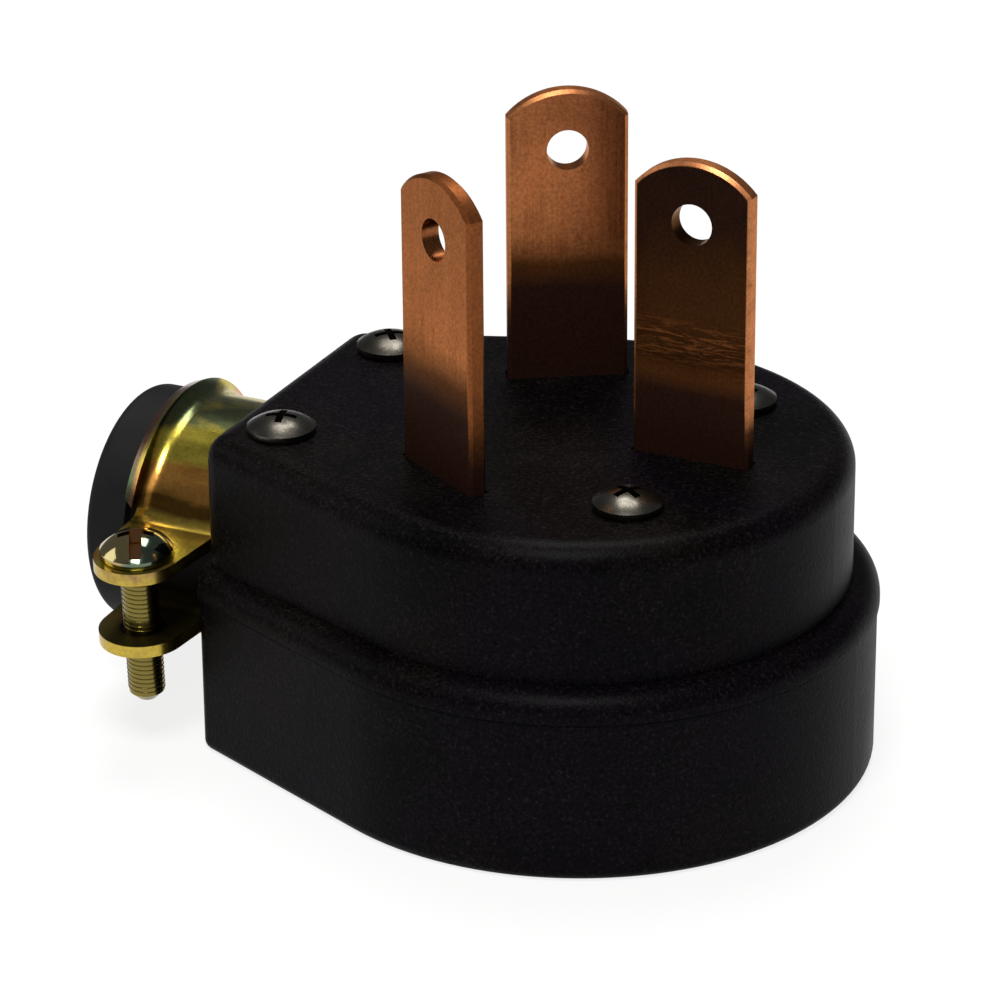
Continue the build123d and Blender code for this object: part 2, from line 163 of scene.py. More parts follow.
class NodeWork:
    """A node tree being written, node by node."""

    prefix = ""

    def __init__(self, tree: bpy.types.NodeTree) -> None:
        """Keeps the tree.

        Args:
            tree: The tree that the nodes go into.
        """
        self.tree = tree

    def put(self, kind: str, settings: dict[str, Any] | None = None, out: int | str = 0,
            **values: Any) -> Wire:
        """Adds a node of any kind.

        Args:
            kind: The node's type, without its prefix.
            settings: What is set on the node first. "stops" fills a colour ramp.
            out: The output that is wanted.
            **values: Values or wires by socket, with _ for a blank, or in_N by place.

        Returns:
            The wanted output.
        """
        node = self.tree.nodes.new(self.prefix + kind)
        for key, value in (settings or {}).items():
            if key == "stops":
                self._fill_ramp(node, value)
            else:
                setattr(node, key, value)
        for key, value in values.items():
            place: int | str = int(key[3:]) if key.startswith("in_") else key.replace("_", " ")
            slot = node.inputs[place]
            if isinstance(value, Wire):
                self.tree.links.new(value.socket, slot)
            else:
                slot.default_value = value
        return Wire(self.tree, node.outputs[out] if node.outputs else None)

    @staticmethod
    def _fill_ramp(node: bpy.types.Node, stops: Sequence[Stop]) -> None:
        """Sets the stops of a colour ramp.

        Args:
            node: The ramp's node.
            stops: Place and colour of each stop.
        """
        ramp = node.color_ramp
        while len(ramp.elements) < len(stops):
            ramp.elements.new(0.5)
        for element, (place, colour) in zip(ramp.elements, stops):
            element.position = place
            element.color = (*colour, 1.0)


class Growth(NodeWork):
    """A Geometry Nodes tree, with named inputs for its sizes."""

    prefix = "GeometryNode"

    def __init__(self, name: str) -> None:
        """Starts a tree that takes a mesh and gives one back.

        Args:
            name: The tree's name.
        """
        super().__init__(bpy.data.node_groups.new(name, "GeometryNodeTree"))
        face = self.tree.interface
        face.new_socket("Geometry", in_out="INPUT", socket_type="NodeSocketGeometry")
        face.new_socket("Geometry", in_out="OUTPUT", socket_type="NodeSocketGeometry")
        self.entry = self.tree.nodes.new("NodeGroupInput")
        self.leave = self.tree.nodes.new("NodeGroupOutput")
        self.values: dict[str, Any] = {}

    @property
    def given(self) -> Wire:
        """The mesh that the tree is laid on."""
        return Wire(self.tree, self.entry.outputs[0])

    def size(self, name: str, value: Any, kind: str = "Float") -> Wire:
        """Adds a named input.

        Args:
            name: What the input is called.
            value: The value that it gets.
            kind: Its type of socket.

        Returns:
            The input, to be wired.
        """
        item = self.tree.interface.new_socket(name, in_out="INPUT",
                                              socket_type="NodeSocket" + kind)
        self.values[item.identifier] = value
        return Wire(self.tree, self.entry.outputs[name])

    def settle(self, piece: bpy.types.Object, shape: Wire, finish: bpy.types.Material) -> None:
        """Ends the tree, runs it on a piece and keeps the plain mesh.

        Args:
            piece: The object that the tree is laid on.
            shape: The geometry that the tree makes.
            finish: The material that it gets.
        """
        real = self.put("RealizeInstances", Geometry=shape)
        coat = self.size("Finish", finish, "Material")
        dressed = self.put("SetMaterial", Geometry=real, Material=coat)
        self.tree.links.new(dressed.socket, self.leave.inputs[0])
        modifier = piece.modifiers.new("growth", "NODES")
        modifier.node_group = self.tree
        for identifier, value in self.values.items():
            modifier[identifier] = value
        bake(piece)


def bake(piece: bpy.types.Object) -> None:
    """Turns a piece's modifiers into its plain mesh.

    Args:
        piece: The piece, which keeps its name and its place.
    """
    bpy.context.view_layer.update()
    seen = piece.evaluated_get(bpy.context.evaluated_depsgraph_get())
    mesh = bpy.data.meshes.new_from_object(seen)
    piece.modifiers.clear()
    piece.data = mesh


@dataclass(frozen=True)
class Pattern:
    """One noise: its scale and character, and how it is stretched and turned."""

    scale: float
    detail: float = 3.0
    roughness: float = 0.5
    distortion: float = 0.0
    stretch: Point = FULL_SIZE
    turn: Point = NO_TURN


@dataclass(frozen=True)
class Mask:
    """Where a value counts: not at all at one end of a range, with its share at the other."""

    none: float
    full: float
    share: float = 1.0


class Recipe(NodeWork):
    """A material being written."""

    prefix = "ShaderNode"

    def __init__(self, name: str) -> None:
        """Starts an empty node material.

        Args:
            name: The material's name.
        """
        self.material = bpy.data.materials.new(name)
        self.material.use_nodes = True
        super().__init__(self.material.node_tree)
        self.tree.nodes.clear()

    def place(self, stretch: Point, turn: Point) -> Wire:
        """Object coordinates, stretched and turned.

        Args:
            stretch: How much the pattern is scaled along each axis.
            turn: Rotation in degrees about each axis.

        Returns:
            The coordinates.
        """
        where = self.put("TexCoord", out="Object")
        return self.put("Mapping", {"vector_type": "POINT"}, Vector=where, Scale=stretch,
                        Rotation=tuple(math.radians(t) for t in turn))

    def axes(self, origin: Point, turn: Point) -> tuple[Wire, Wire, Wire]:
        """The three coordinates in a frame of the piece's own, in metres.

        Args:
            origin: Where that frame stands.
            turn: How it is turned about each axis, in degrees.

        Returns:
            The coordinates, one by one.
        """
        where = self.put("Mapping", {"vector_type": "TEXTURE"}, Location=origin,
                         Vector=self.put("TexCoord", out="Object"),
                         Rotation=tuple(math.radians(t) for t in turn))
        split = self.put("SeparateXYZ", Vector=where)
        outputs = split.socket.node.outputs
        x, y, z = (Wire(self.tree, output) for output in outputs)
        return x, y, z

    def gap(self, first: Wire, second: float = 0.0) -> Wire:
        """How far two values lie apart."""
        return self.put("Math", {"operation": "ABSOLUTE"}, in_0=first - second)

    def reach(self, along: Wire, aside: Wire) -> Wire:
        """The length of a step that is given by its two parts."""
        return (along * along + aside * aside) ** 0.5

    def noise(self, pattern: Pattern) -> Wire:
        """A noise value from 0 to 1.

        Args:
            pattern: The noise.

        Returns:
            Its value, in Object coordinates.
        """
        return self.put("TexNoise", {"noise_dimensions": "3D"},
                        Vector=self.place(pattern.stretch, pattern.turn), Scale=pattern.scale,
                        Detail=pattern.detail, Roughness=pattern.roughness,
                        Distortion=pattern.distortion)

    def swing(self, noise: Wire, reach: float) -> Wire:
        """A noise as an offset to either side of nothing, this far from end to end."""
        return (noise - NOISE_MIDDLE) * reach

    def spread(self, value: Wire, band: Band, to: Band) -> Wire:
        """A value taken from one range to another, and held inside it.

        Args:
            value: The value.
            band: The range that it comes from.
            to: The range that it is taken to.

        Returns:
            The value in the new range.
        """
        return self.put("MapRange", {"clamp": True}, in_0=value, in_1=band[0], in_2=band[1],
                        in_3=to[0], in_4=to[1])

    def mask(self, value: Wire, mask: Mask) -> Wire:
        """How much a value counts, from nothing to the mask's share."""
        return self.spread(value, (mask.none, mask.full), (0.0, mask.share))

    def ramp(self, value: Wire, stops: Sequence[Stop]) -> Wire:
        """A colour picked from stops by a value."""
        return self.put("ValToRGB", {"stops": stops}, Fac=value)

    def blend(self, share: Wire | float, first: Wire | Colour, second: Wire | Colour,
              how: str = "MIX") -> Wire:
        """Two colours mixed.

        Args:
            share: How much of the second one shows.
            first: The colour below.
            second: The colour above.
            how: The way that they are mixed.

        Returns:
            The mixed colour.
        """
        first, second = (c if isinstance(c, Wire) else (*c, 1.0) for c in (first, second))
        node = {"data_type": "RGBA", "blend_type": how}
        return self.put("Mix", node, out=2, in_0=share, in_6=first, in_7=second)

    def mottle(self, colour: Wire, grain: Wire, depth: float) -> Wire:
        """A colour made lighter and darker by a noise.

        Args:
            colour: The colour.
            grain: The noise.
            depth: How far it goes each way, as a share of the colour.

        Returns:
            The mottled colour.
        """
        shade = self.spread(grain, MOTTLE_BAND, (1.0 - depth, 1.0 + depth))
        return self.blend(1.0, colour, shade, "MULTIPLY")

    def bump(self, height: Wire, depth: float, strength: float) -> Wire:
        """A normal from a height between 0 and 1.

        Args:
            height: The height.
            depth: How deep a height of 1 is, in metres.
            strength: The share of it that shows.

        Returns:
            The normal.
        """
        return self.put("Bump", Height=height, Distance=depth, Strength=strength)

    def surface(self, **values: Any) -> bpy.types.Material:
        """Ends the recipe with a principled surface.

        Args:
            **values: Its sockets, with _ for a blank.

        Returns:
            The finished material.
        """
        shader = self.put("BsdfPrincipled", **values)
        return self.finish(shader)

    def finish(self, shader: Wire) -> bpy.types.Material:
        """Ends the recipe with any shader."""
        self.put("OutputMaterial", Surface=shader)
        return self.material


@dataclass(frozen=True)
class MouldedPlastic:
    """Black moulding compound with a fine eroded grain and faint flow marks."""

    name: str = "moulded_black"
    dark: Colour = (0.0014, 0.0010, 0.0011)
    light: Colour = (0.0044, 0.0034, 0.0032)
    violet: Colour = (0.0026, 0.0017, 0.0036)
    speck: Colour = (0.021, 0.018, 0.017)
    cloud: Pattern = Pattern(70.0, 4.0, 0.55, 0.4)
    drift: Pattern = Pattern(38.0, 2.0, 0.5, 0.8)
    pits: Pattern = Pattern(3000.0, 2.0, 0.6)
    coarse: Pattern = Pattern(1050.0, 2.0, 0.5)
    lightened: Mask = Mask(0.35, 0.68)
    tinted: Mask = Mask(0.47, 0.60, 0.7)
    specked: Mask = Mask(0.60, 0.78, 0.30)
    mottling: float = 0.75
    rough: float = 0.37
    rough_cloud: Mask = Mask(0.3, 0.7, 0.08)
    rough_pits: float = 0.18
    fine_share: float = 0.7
    grain_depth: float = 0.11 * MM
    grain_shown: float = 0.65
    sheen: float = 0.033
    index: float = 1.5

    def make(self) -> bpy.types.Material:
        """Writes the material.

        Returns:
            The moulding compound.
        """
        r = Recipe(self.name)
        cloud, drift = r.noise(self.cloud), r.noise(self.drift)
        pits, coarse = r.noise(self.pits), r.noise(self.coarse)
        colour = r.blend(r.mask(cloud, self.lightened), self.dark, self.light)
        colour = r.blend(r.mask(drift, self.tinted), colour, self.violet)
        colour = r.blend(r.mask(pits, self.specked), colour, self.speck)
        colour = r.mottle(colour, pits, self.mottling)
        rough = self.rough + r.mask(cloud, self.rough_cloud) + r.swing(pits, self.rough_pits)
        height = pits * self.fine_share + coarse * (1.0 - self.fine_share)
        normal = r.bump(height, self.grain_depth, self.grain_shown)
        return r.surface(Base_Color=colour, Roughness=rough, Normal=normal,
                         Specular_IOR_Level=self.sheen, IOR=self.index)


@dataclass(frozen=True)
class BladeCopper:
    """Rolled copper with painted light: a painted highlight along its rims, painted browner towards
    the tip as a painted reflection, and tarnish mixed with a painted dark reflection of the housing
    towards its foot.
    """

    name: str
    stand: tuple[float, float]
    turn: float
    bright: Colour
    worn: Colour
    # rim: the colour of the painted light along the blade's edges
    rim: Colour
    # tarnish: the heights where the blade turns tan and then black, partly tarnish and partly a
    # painted dark reflection of the housing
    tarnish: Mask
    aged: float = 0.0
    brown: Colour = (0.15, 0.050, 0.020)
    tan: Colour = (0.105, 0.036, 0.0095)
    black: Colour = (0.022, 0.0088, 0.0055)
    patina: Colour = (0.034, 0.0125, 0.0036)
    burnt: Colour = (0.011, 0.0050, 0.0034)
    score: Colour = (0.17, 0.057, 0.017)

    # Noises
    lines: Pattern = Pattern(1.0, 3.0, 0.65, 0.0, (5200.0, 5200.0, 55.0))
    broad: Pattern = Pattern(1.0, 2.0, 0.5, 0.3, (620.0, 620.0, 28.0))
    stain: Pattern = Pattern(130.0, 5.0, 0.6, 0.8, (1.0, 1.0, 0.55))
    patch: Pattern = Pattern(210.0, 3.0, 0.55, 0.6)
    specks: Pattern = Pattern(900.0, 2.0, 0.6)
    grain: Pattern = Pattern(3200.0, 2.0, 0.6)
    waves: Pattern = Pattern(1.0, 3.0, 0.6, 1.6, (240.0, 240.0, 2300.0), (0.0, 14.0, 0.0))

    # Where the colours lie, by noise or by height above the housing
    polished: Mask = Mask(0.36, 0.66)
    stained: Mask = Mask(0.50, 0.74, 0.5)
    specked: Mask = Mask(0.66, 0.78, 0.5)
    # dulled: heights over which the blade is painted browner towards its tip, a painted reflection
    dulled: Mask = Mask(16.0 * MM, 27.0 * MM, 0.5)
    tip_reflection_swing: float = 12.0 * MM
    charred: Mask = Mask(16.0 * MM, 24.0 * MM)
    charred_swing: float = 14.0 * MM
    darkened: Band = (0.25, 0.70)
    darkened_least: float = 0.96
    score_height: float = 11.8 * MM
    score_reach: Mask = Mask(2.9 * MM, 0.5 * MM)
    scored: Mask = Mask(0.48, 0.60)
    score_share: float = 0.85
    # Tan and black near the housing: partly tarnish, partly a painted dark reflection of the black
    # housing face
    tan_by_tarnish_and_reflection: Mask = Mask(0.0, 0.55)
    black_by_tarnish_and_reflection: Mask = Mask(0.35, 1.0)
    tarnish_and_reflection_swing: float = 1.6 * MM
    # The rims' painted highlight reaches lower down than the faces before the painted dark
    # reflection takes over
    rim_highlight_lift: float = 5.0 * MM

    # The outline of the blade, for the painted highlight along its rims
    half_width: float = 6.035 * MM
    tip_radius: float = 7.97 * MM
    tip_centre: float = 22.33 * MM
    tip_start: Mask = Mask(24.5 * MM, 25.5 * MM)
    rim_from: float = 0.40 * MM
    rim_full: float = 0.28 * MM
    specked_rim_highlight: Mask = Mask(0.52, 0.66, 0.7)

    # The surface
    mottling: float = 0.24
    rough: float = 0.26
    rough_lines: Mask = Mask(0.3, 0.7, 0.05)
    rough_stain: Mask = Mask(0.45, 0.75, 0.06)
    rough_tarnish: float = 0.06
    rough_rim: float = 0.12
    relief_lines: float = 0.5
    relief_broad: float = 0.15
    relief_grain: float = 0.2
    relief_scores: float = 0.15
    relief_depth: float = 0.03 * MM
    relief_shown: float = 0.3
    metal_lost: float = 0.95
    sheen: float = 0.03
    sheen_tint: Colour = (1.0, 0.74, 0.58)

    def make(self) -> bpy.types.Material:
        """Writes the material.

        Returns:
            The copper of one blade.
        """
        r = Recipe(self.name)
        u, _, height = r.axes((*self.stand, BLADE_FACE), (0.0, 0.0, self.turn))
        lines, broad, stain = r.noise(self.lines), r.noise(self.broad), r.noise(self.stain)
        patch, specks, grain = r.noise(self.patch), r.noise(self.specks), r.noise(self.grain)
        colour = r.blend(r.mask((lines + broad) * 0.5, self.polished), self.worn, self.bright)
        colour = r.blend(r.mask(stain, self.stained), colour, self.brown)
        colour = r.blend(r.mask(specks, self.specked), colour, self.brown)

        # Painted reflection: the blade is painted browner towards its tip, where it would mirror
        # dimmer surroundings
        dulled = r.mask(height + r.swing(broad, self.tip_reflection_swing), self.dulled)
        colour = r.blend(dulled, colour, self.brown)

        # An old blade has darkened all over, and is scored near its foot
        charred = r.mask(height + r.swing(patch, self.charred_swing), self.charred)
        old = r.blend(charred, self.patina, self.burnt)
        darkened = r.spread(patch, self.darkened, (self.aged, self.darkened_least * self.aged))
        colour = r.blend(darkened, colour, old)
        band = r.mask(r.gap(height, self.score_height), self.score_reach)
        scores = band * r.mask(r.noise(self.waves), self.scored) * self.aged
        colour = r.blend(scores * self.score_share, colour, self.score)

        # Painted highlight: the rims are painted in their own colour, as edges catching the lamps,
        # with brown specks
        rim = self._rim(r, u, height)
        specked_rim_highlight = r.blend(r.mask((specks + grain) * 0.5, self.specked_rim_highlight), self.rim, self.brown)
        colour = r.blend(rim, colour, specked_rim_highlight)

        # Tarnish creeps up from the housing, less along the rims. Partly painted reflection: towards
        # the housing the blade is painted tan and then black, standing in for the black housing face
        # that it would mirror, and it loses its metal there.
        level = height + r.swing(patch, self.tarnish_and_reflection_swing) + rim * self.rim_highlight_lift
        tarnish_and_reflection = r.mask(level, self.tarnish)
        colour = r.blend(r.mask(tarnish_and_reflection, self.tan_by_tarnish_and_reflection), colour, self.tan)
        colour = r.blend(r.mask(tarnish_and_reflection, self.black_by_tarnish_and_reflection), colour, self.black)
        colour = r.mottle(colour, grain, self.mottling)

        rough = (self.rough + r.mask(lines, self.rough_lines) + r.mask(stain, self.rough_stain)
                 + tarnish_and_reflection * self.rough_tarnish + rim * self.rough_rim)
        relief = (lines * self.relief_lines + broad * self.relief_broad
                  + grain * self.relief_grain + scores * self.relief_scores)
        normal = r.bump(relief, self.relief_depth, self.relief_shown)
        return r.surface(Base_Color=colour, Roughness=rough, Normal=normal,
                         Metallic=1.0 - tarnish_and_reflection * self.metal_lost, Specular_IOR_Level=self.sheen,
                         Specular_Tint=(*self.sheen_tint, 1.0))

    def _rim(self, r: Recipe, u: Wire, height: Wire) -> Wire:
        """The strip along the blade's sides and round its tip.

        Args:
            r: The recipe that it is written in.
            u: Place across the blade.
            height: Height above the housing.

        Returns:
            One on the strip and nothing inside it.
        """
        straight = r.mask(r.gap(u), Mask(self.half_width - self.rim_from,
                                         self.half_width - self.rim_full))
        from_centre = r.reach(u, height - self.tip_centre)
        round_tip = r.mask(from_centre, Mask(self.tip_radius - self.rim_from,
                                             self.tip_radius - self.rim_full))
        return 1.0 - (1.0 - straight) * (1.0 - round_tip * r.mask(height, self.tip_start))


@dataclass(frozen=True)
class YellowZinc:
    """Zinc plate with a yellow passivation, which runs through colours round each bend; these are
    partly its own and partly painted reflection, and the ears and screw holes carry painted shade.
    """

    name: str = "clamp_steel"
    gold: Colour = (0.56, 0.46, 0.065)
    ochre: Colour = (0.50, 0.35, 0.060)
    orange: Colour = (0.60, 0.285, 0.065)
    umber: Colour = (0.17, 0.085, 0.017)
    rose: Colour = (0.24, 0.125, 0.095)
    green: Colour = (0.10, 0.12, 0.055)
    painted_shade: Colour = (0.020, 0.014, 0.008)
    # Colours by height round the saddle: partly the passivation's own, partly painted reflection
    rings: tuple[Stop, ...] = (
        (0.42, ochre), (0.47, umber), (0.54, umber), (0.60, orange), (0.75, orange),
        (0.80, gold), (0.945, gold), (0.99, green))
    plates: tuple[Stop, ...] = ((0.34, orange), (0.44, ochre), (0.54, gold))
    drift: Pattern = Pattern(120.0, 3.0, 0.5, 0.9)
    drawn: Pattern = Pattern(1.0, 2.0, 0.5, 0.0, (150.0, 900.0, 900.0))
    fine: Pattern = Pattern(2600.0, 2.0, 0.6)

    # Heights and distances from the cord's axis
    ring_reach: Mask = Mask(0.0, 12.5 * MM)
    ring_drift: float = 2.2 * MM
    ring_drawn: float = 0.5 * MM
    ears: Mask = Mask(12.6 * MM, 14.6 * MM)
    ear_underside: Mask = Mask(-3.455 * MM, -3.405 * MM)
    ear_low: Mask = Mask(0.0, -1.0 * MM)
    lip: Mask = Mask(-44.0 * MM, -44.25 * MM)
    lip_crown: Mask = Mask(8.5 * MM, 11.5 * MM)
    lip_drift: float = 3.0 * MM

    # Distances from a clamp screw's axis
    ear_end: Mask = Mask(-4.25 * MM, -4.38 * MM)
    ear_side: Mask = Mask(-0.5 * MM, 0.0)
    ear_rim: Mask = Mask(4.26 * MM, 4.36 * MM)
    hole_shade: Mask = Mask(2.45 * MM, 2.25 * MM)

    rim_tone: Mask = Mask(0.4, 0.6)
    rim_share: float = 0.8
    shade_share: float = 0.9
    flecked: Mask = Mask(0.60, 0.80, 0.3)
    mottling: float = 0.15
    rough: float = 0.18
    rough_drawn: Mask = Mask(0.3, 0.7, 0.08)
    rough_drift: float = 0.08
    rough_shaded: float = 0.2
    relief_depth: float = 0.012 * MM
    relief_shown: float = 0.5

    def make(self) -> bpy.types.Material:
        """Writes the material.

        Returns:
            The clamp's plate.
        """
        r = Recipe(self.name)
        x, y, z = r.axes((0.0, 0.0, CORD_AXIS), (CLAMP_ROLL, 0.0, 0.0))
        drift, drawn, fine = r.noise(self.drift), r.noise(self.drawn), r.noise(self.fine)

        # Bands of colour by height above the cord's axis: partly the passivation's own colours,
        # partly painted reflection, dark green at the top for the dim room above, gold at the sides
        # for the bright floor, and a dark umber band between
        rise = r.gap(z) + r.swing(drift, self.ring_drift) + r.swing(drawn, self.ring_drawn)
        colour = r.ramp(r.mask(rise, self.ring_reach), self.rings)

        # The ears and their worn edges, with painted shade on the lower ear's top under the upper
        # ear and round the screws in their holes
        out = r.gap(y)
        ears = r.mask(out, self.ears)
        colour = r.blend(ears, colour, r.ramp(drift, self.plates))
        along, aside = x - SCREW_ROW, out - SCREW_ASIDE
        reach = r.reach(along, aside)
        inside = (1.0 - r.mask(along, self.ear_end)) * (1.0 - r.mask(aside, self.ear_side))
        edge = r.mask(reach, self.ear_rim) * (1.0 - inside)
        worn = r.blend(r.mask(drift, self.rim_tone), self.rose, self.ochre)
        colour = r.blend(edge * self.rim_share, colour, worn)
        shaded = ears * r.mask(z, self.ear_underside) * r.mask(z, self.ear_low)
        colour = r.blend(shaded * self.shade_share, colour, self.painted_shade)
        colour = r.blend(r.mask(reach, self.hole_shade), colour, self.painted_shade)

        # The edge of the lip
        crown = r.mask(z + r.swing(drift, self.lip_drift), self.lip_crown)
        brim = r.blend(crown, self.green, self.rose)
        colour = r.blend(r.mask(x, self.lip), colour, brim)
        colour = r.blend(r.mask(fine, self.flecked), colour, self.umber)
        colour = r.mottle(colour, fine, self.mottling)

        rough = (self.rough + r.mask(drawn, self.rough_drawn) + r.swing(drift, self.rough_drift)
                 + shaded * self.rough_shaded)
        normal = r.bump((drawn + fine) * 0.5, self.relief_depth, self.relief_shown)
        return r.surface(Base_Color=colour, Roughness=rough, Normal=normal, Metallic=1.0)


@dataclass(frozen=True)
class ScrewZinc:
    """The brighter plate of the clamp screws, olive in the thread, with a painted dark reflection on
    the head's side towards the housing and painted shade in its grooves.
    """

    name: str = "clamp_screw_zinc"
    head: Colour = (0.46, 0.37, 0.17)
    olive: Colour = (0.20, 0.16, 0.042)
    rose: Colour = (0.46, 0.27, 0.17)
    green: Colour = (0.13, 0.17, 0.12)
    groove_shade: Colour = (0.20, 0.085, 0.022)
    ball: float = 4.876 * MM
    drift: Pattern = Pattern(260.0, 3.0, 0.5, 0.7)
    fine: Pattern = Pattern(2600.0, 2.0, 0.6)
    blushed: Mask = Mask(0.46, 0.60)
    housing_side_reflection: Mask = Mask(0.0, 1.2 * MM)
    housing_side_drift: float = 4.0 * MM
    below_dome: Mask = Mask(0.06 * MM, 0.16 * MM)
    above_seat: Mask = Mask(0.9 * MM, 1.0 * MM)
    shank: Mask = Mask(0.0, -0.6 * MM)
    rough: float = 0.11
    rough_shank: float = 0.10
    rough_sunk: float = 0.15
    rough_drift: float = 0.08
    relief_depth: float = 0.008 * MM
    relief_shown: float = 0.4

    def make(self) -> bpy.types.Material:
        """Writes the material.

        Returns:
            The clamp screws' plate.
        """
        r = Recipe(self.name)
        x, y, z = r.axes((0.0, 0.0, CORD_AXIS), (CLAMP_ROLL, 0.0, 0.0))
        drift, fine = r.noise(self.drift), r.noise(self.fine)
        bright = r.blend(r.mask(drift, self.blushed), self.head, self.rose)
        along, aside, above = x - SCREW_ROW, r.gap(y) - SCREW_ASIDE, z - EAR_TOP
        # Painted reflection: the side of the head towards the housing is painted dark green, as it
        # would mirror the black housing there
        side = r.mask(along + r.swing(drift, self.housing_side_drift), self.housing_side_reflection)
        bright = r.blend(side, bright, self.green)

        # Painted shade: inside the grooves, below the ball of the head, the screw is painted a dark
        # orange
        dome = ((self.ball ** 2 - along * along - aside * aside) ** 0.5
                + (CLAMP_HEAD_RISE - self.ball))
        inside = r.mask(dome - above, self.below_dome) * r.mask(above, self.above_seat)
        bright = r.blend(inside, bright, self.groove_shade)
        shank = r.mask(above, self.shank)
        colour = r.blend(shank, bright, self.olive)
        rough = (self.rough + shank * self.rough_shank + inside * self.rough_sunk
                 + r.swing(drift, self.rough_drift))
        normal = r.bump(fine, self.relief_depth, self.relief_shown)
        return r.surface(Base_Color=colour, Roughness=rough, Normal=normal, Metallic=1.0)


@dataclass(frozen=True)
class PlainMetal:
    """A plated or turned metal with tool marks and a little tarnish."""

    name: str
    clean: Colour
    dull: Colour
    rough: float
    tarnish: Pattern = Pattern(420.0, 4.0, 0.6, 0.5)
    marks: Pattern = Pattern(3800.0, 2.0, 0.6)
    dulled: Mask = Mask(0.40, 0.70)
    rough_tarnish: Mask = Mask(0.35, 0.7, 0.14)
    rough_marks: float = 0.08
    relief_depth: float = 0.012 * MM
    relief_shown: float = 0.5

    def make(self) -> bpy.types.Material:
        """Writes the material.

        Returns:
            The metal.
        """
        r = Recipe(self.name)
        tarnish, marks = r.noise(self.tarnish), r.noise(self.marks)
        colour = r.blend(r.mask(tarnish, self.dulled), self.clean, self.dull)
        rough = (self.rough + r.mask(tarnish, self.rough_tarnish)
                 + r.swing(marks, self.rough_marks))
        normal = r.bump(marks, self.relief_depth, self.relief_shown)
        return r.surface(Base_Color=colour, Roughness=rough, Normal=normal, Metallic=1.0)


@dataclass(frozen=True)
class BushingRubber:
    """Soft black rubber with a dusty bloom."""

    name: str = "bushing_rubber"
    dark: Colour = (0.0035, 0.0033, 0.0038)
    dusty: Colour = (0.0105, 0.0095, 0.0095)
    bloom: Pattern = Pattern(160.0, 4.0, 0.6, 0.6)
    fine: Pattern = Pattern(3400.0, 2.0, 0.6)
    bloomed: Mask = Mask(0.38, 0.72)
    rough: float = 0.58
    rough_bloom: Mask = Mask(0.3, 0.7, 0.16)
    rough_fine: float = 0.08
    fine_share: float = 0.6
    relief_depth: float = 0.03 * MM
    relief_shown: float = 0.5
    sheen: float = 0.15

    def make(self) -> bpy.types.Material:
        """Writes the material.

        Returns:
            The rubber.
        """
        r = Recipe(self.name)
        bloom, fine = r.noise(self.bloom), r.noise(self.fine)
        colour = r.blend(r.mask(bloom, self.bloomed), self.dark, self.dusty)
        rough = self.rough + r.mask(bloom, self.rough_bloom) + r.swing(fine, self.rough_fine)
        height = fine * self.fine_share + bloom * (1.0 - self.fine_share)
        normal = r.bump(height, self.relief_depth, self.relief_shown)
        return r.surface(Base_Color=colour, Roughness=rough, Normal=normal,
                         Specular_IOR_Level=self.sheen)


@dataclass(frozen=True)
class SoftBox:
    """One square lamp that looks at the plug."""

    name: str
    place: Point
    power: float
    size: float
    tint: Colour
    target: Point = (0.0, 0.0, 0.025)

    def hang(self) -> None:
        """Puts the lamp in the scene."""
        lamp = bpy.data.lights.new(self.name, "AREA")
        lamp.energy, lamp.size, lamp.color = self.power, self.size, self.tint
        holder = bpy.data.objects.new(self.name, lamp)
        holder.location = self.place
        aim = Vector(self.target) - Vector(self.place)
        holder.rotation_euler = aim.to_track_quat("-Z", "Y").to_euler()
        bpy.context.collection.objects.link(holder)


